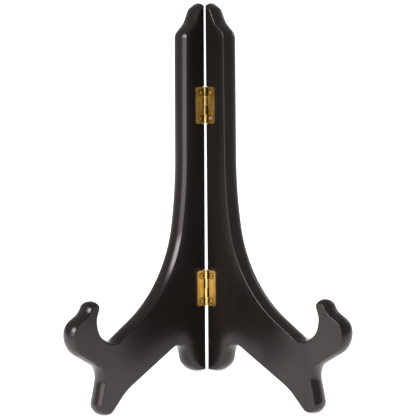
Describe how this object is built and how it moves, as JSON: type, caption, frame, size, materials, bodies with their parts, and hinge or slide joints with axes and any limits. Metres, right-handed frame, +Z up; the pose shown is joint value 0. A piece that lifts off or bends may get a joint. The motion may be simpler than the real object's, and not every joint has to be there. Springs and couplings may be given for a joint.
{
  "type": "folding plate stand",
  "caption": "Folding wooden plate stand: mirrored carved boards in a V, joined along their back edges by small brass butt hinges, with a hook on each arm that holds a plate.",
  "frame": {"origin": "on the surface that the open stand rests on, at the middle of its width and depth", "axes": "+Z up, +Y to the back where the hinge line is, +X to the right of a viewer who faces the hooks from -Y"},
  "size_m": [0.1838, 0.131, 0.2496],
  "materials": {
    "lacquered_wood": "near-black espresso stain under satin lacquer",
    "brass": "bright polished brass plate with fine vertical streaks",
    "brass_screw": "brass-plated slotted screw, slightly worn"
  },
  "bodies": {
    "right_side": {"right_board": "lacquered_wood", "upper_hinge_right_plate": "brass", "upper_hinge_pin": "brass", "lower_hinge_right_plate": "brass", "lower_hinge_pin": "brass", "upper_right_screw_a": "brass_screw", "upper_right_screw_b": "brass_screw", "lower_right_screw_a": "brass_screw", "lower_right_screw_b": "brass_screw"},
    "left_side": {"left_board": "lacquered_wood", "upper_hinge_left_plate": "brass", "lower_hinge_left_plate": "brass", "upper_left_screw_a": "brass_screw", "upper_left_screw_b": "brass_screw", "lower_left_screw_a": "brass_screw", "lower_left_screw_b": "brass_screw"}
  },
  "joints": [
    {"name": "fold", "type": "hinge", "parent": "right_side", "child": "left_side", "pos_m": [0, 0.02893, 0.11734], "axis": [0, 0.2079, 0.9781], "range_deg": [-88, 92]}
  ]
}
